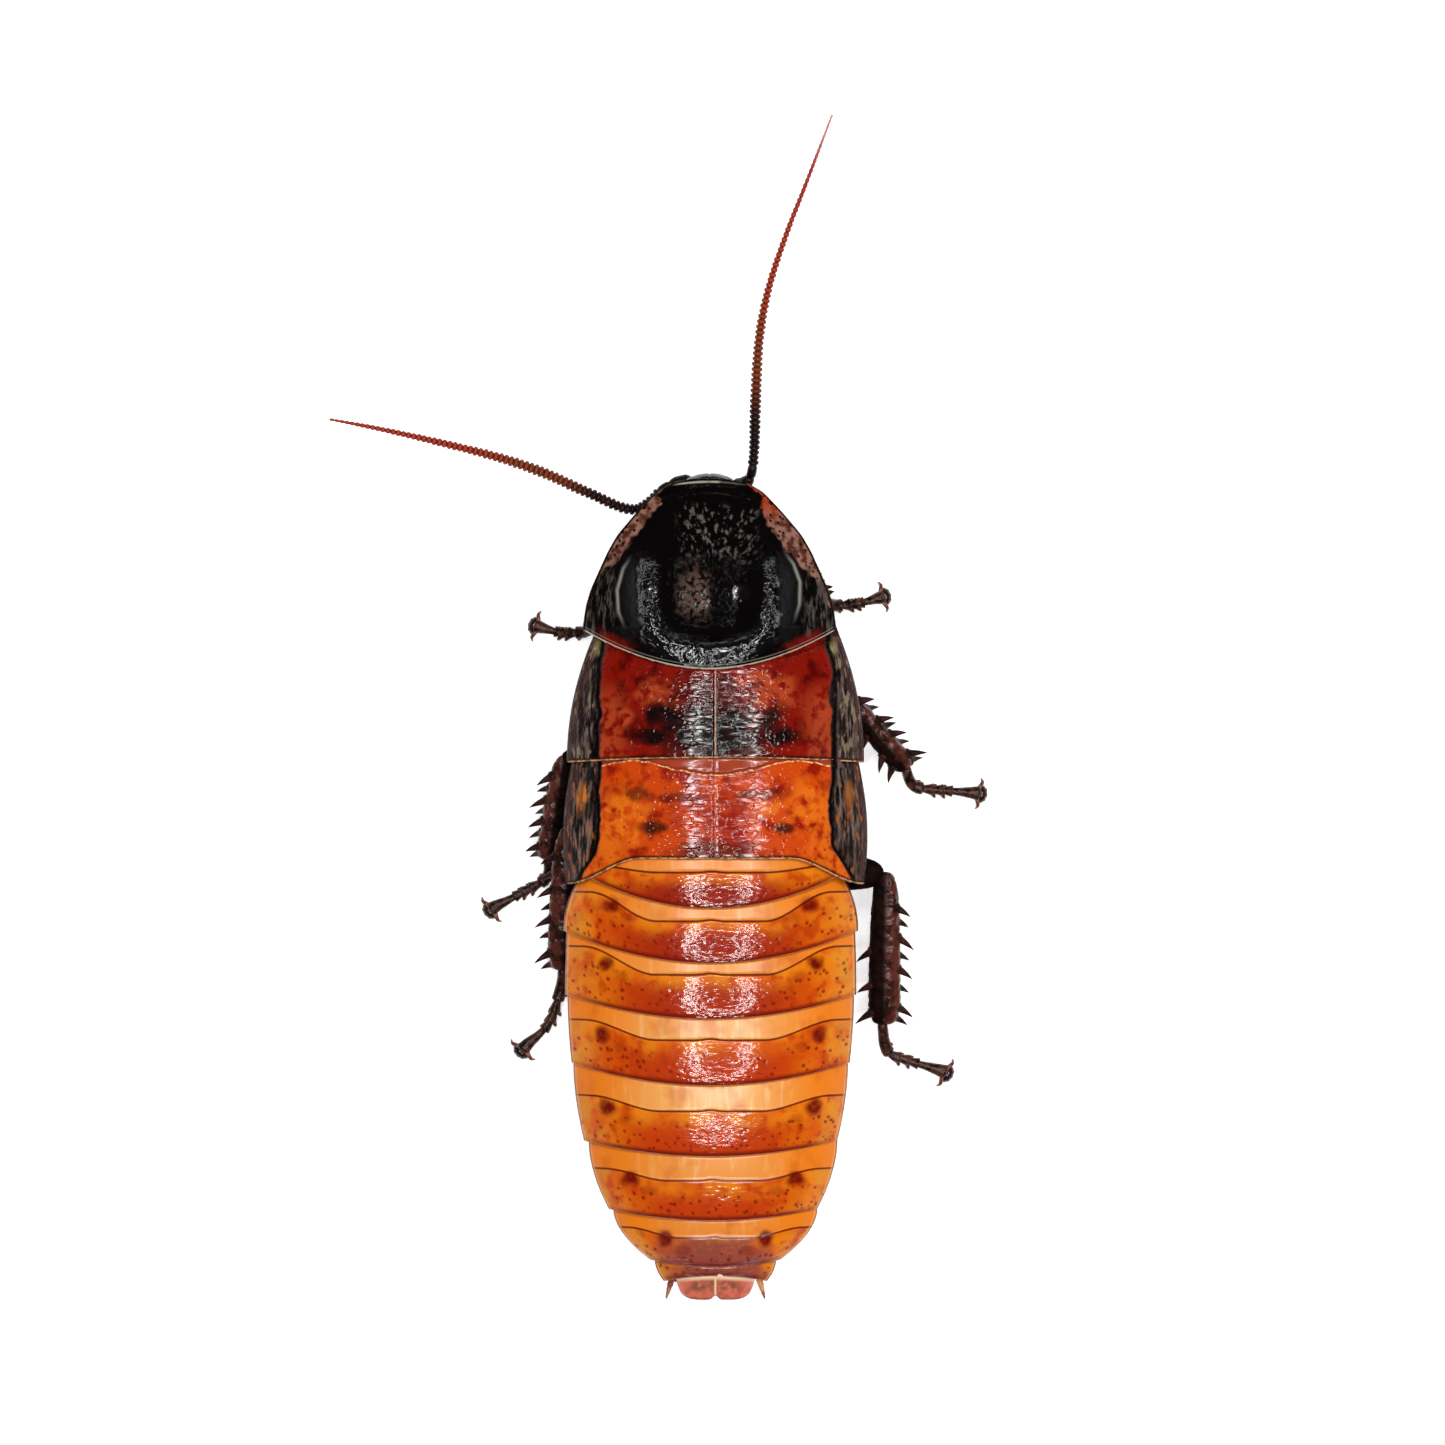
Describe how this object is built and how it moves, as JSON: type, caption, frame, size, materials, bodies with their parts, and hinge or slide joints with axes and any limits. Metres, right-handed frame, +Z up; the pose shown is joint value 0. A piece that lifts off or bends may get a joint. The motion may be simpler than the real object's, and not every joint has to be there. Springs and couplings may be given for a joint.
{
  "type": "madagascar hissing cockroach model",
  "caption": "Life-size still model of a male hissing cockroach, standing level on its feet, with horned neck shield, plated back, spiny legs and beaded feelers.",
  "frame": {"origin": "middle of the underside of the whole model's box, on the floor that the feet stand on", "axes": "+X to the animal's left, +Y from head to tail, +Z up"},
  "size_m": [0.0558, 0.1004, 0.0138],
  "materials": {
    "pronotum": "glossy, wrinkled and punctate near-black shell",
    "wing_plates": "glossy red-brown shell with dark side bands",
    "abdomen": "glossy orange shell, pale front bands, dark rear rims and spots",
    "tail": "translucent-looking pinkish orange shell",
    "underside": "satin brown underside plates",
    "legs": "satin dark brown shell, amber at the claws",
    "antennae": "satin beaded rings, black at the root to orange red and pink at the tip",
    "eyes": "fine faceted gloss black",
    "head": "glossy near-black capsule, brown mouthparts"
  },
  "bodies": {
    "root": {"antenna_left_base": "antennae", "antenna_left_inner": "antennae", "antenna_left_outer": "antennae", "antenna_right_base": "antennae", "antenna_right_inner": "antennae", "antenna_right_outer": "antennae", "cercus_left": "tail", "cercus_right": "tail", "eye_left": "eyes", "eye_right": "eyes", "front_left_coxa": "legs", "front_left_femur": "legs", "front_left_tarsus": "legs", "front_left_tibia": "legs", "front_right_coxa": "legs", "front_right_femur": "legs", "front_right_tarsus": "legs", "front_right_tibia": "legs", "head": "head", "hind_left_coxa": "legs", "hind_left_femur": "legs", "hind_left_tarsus": "legs", "hind_left_tibia": "legs", "hind_right_coxa": "legs", "hind_right_femur": "legs", "hind_right_tarsus": "legs", "hind_right_tibia": "legs", "mesonotum": "wing_plates", "mesosternum": "underside", "metanotum": "wing_plates", "metasternum": "underside", "middle_left_coxa": "legs", "middle_left_femur": "legs", "middle_left_tarsus": "legs", "middle_left_tibia": "legs", "middle_right_coxa": "legs", "middle_right_femur": "legs", "middle_right_tarsus": "legs", "middle_right_tibia": "legs", "palp_left": "head", "palp_right": "head", "pronotum": "pronotum", "prosternum": "underside", "sternite_2": "underside", "sternite_3": "underside", "sternite_4": "underside", "sternite_5": "underside", "sternite_6": "underside", "sternite_7": "underside", "supra_anal_plate": "tail", "tergite_1": "abdomen", "tergite_2": "abdomen", "tergite_3": "abdomen", "tergite_4": "abdomen", "tergite_5": "abdomen", "tergite_6": "abdomen", "tergite_7": "abdomen", "tergite_8": "abdomen"}
  },
  "joints": []
}
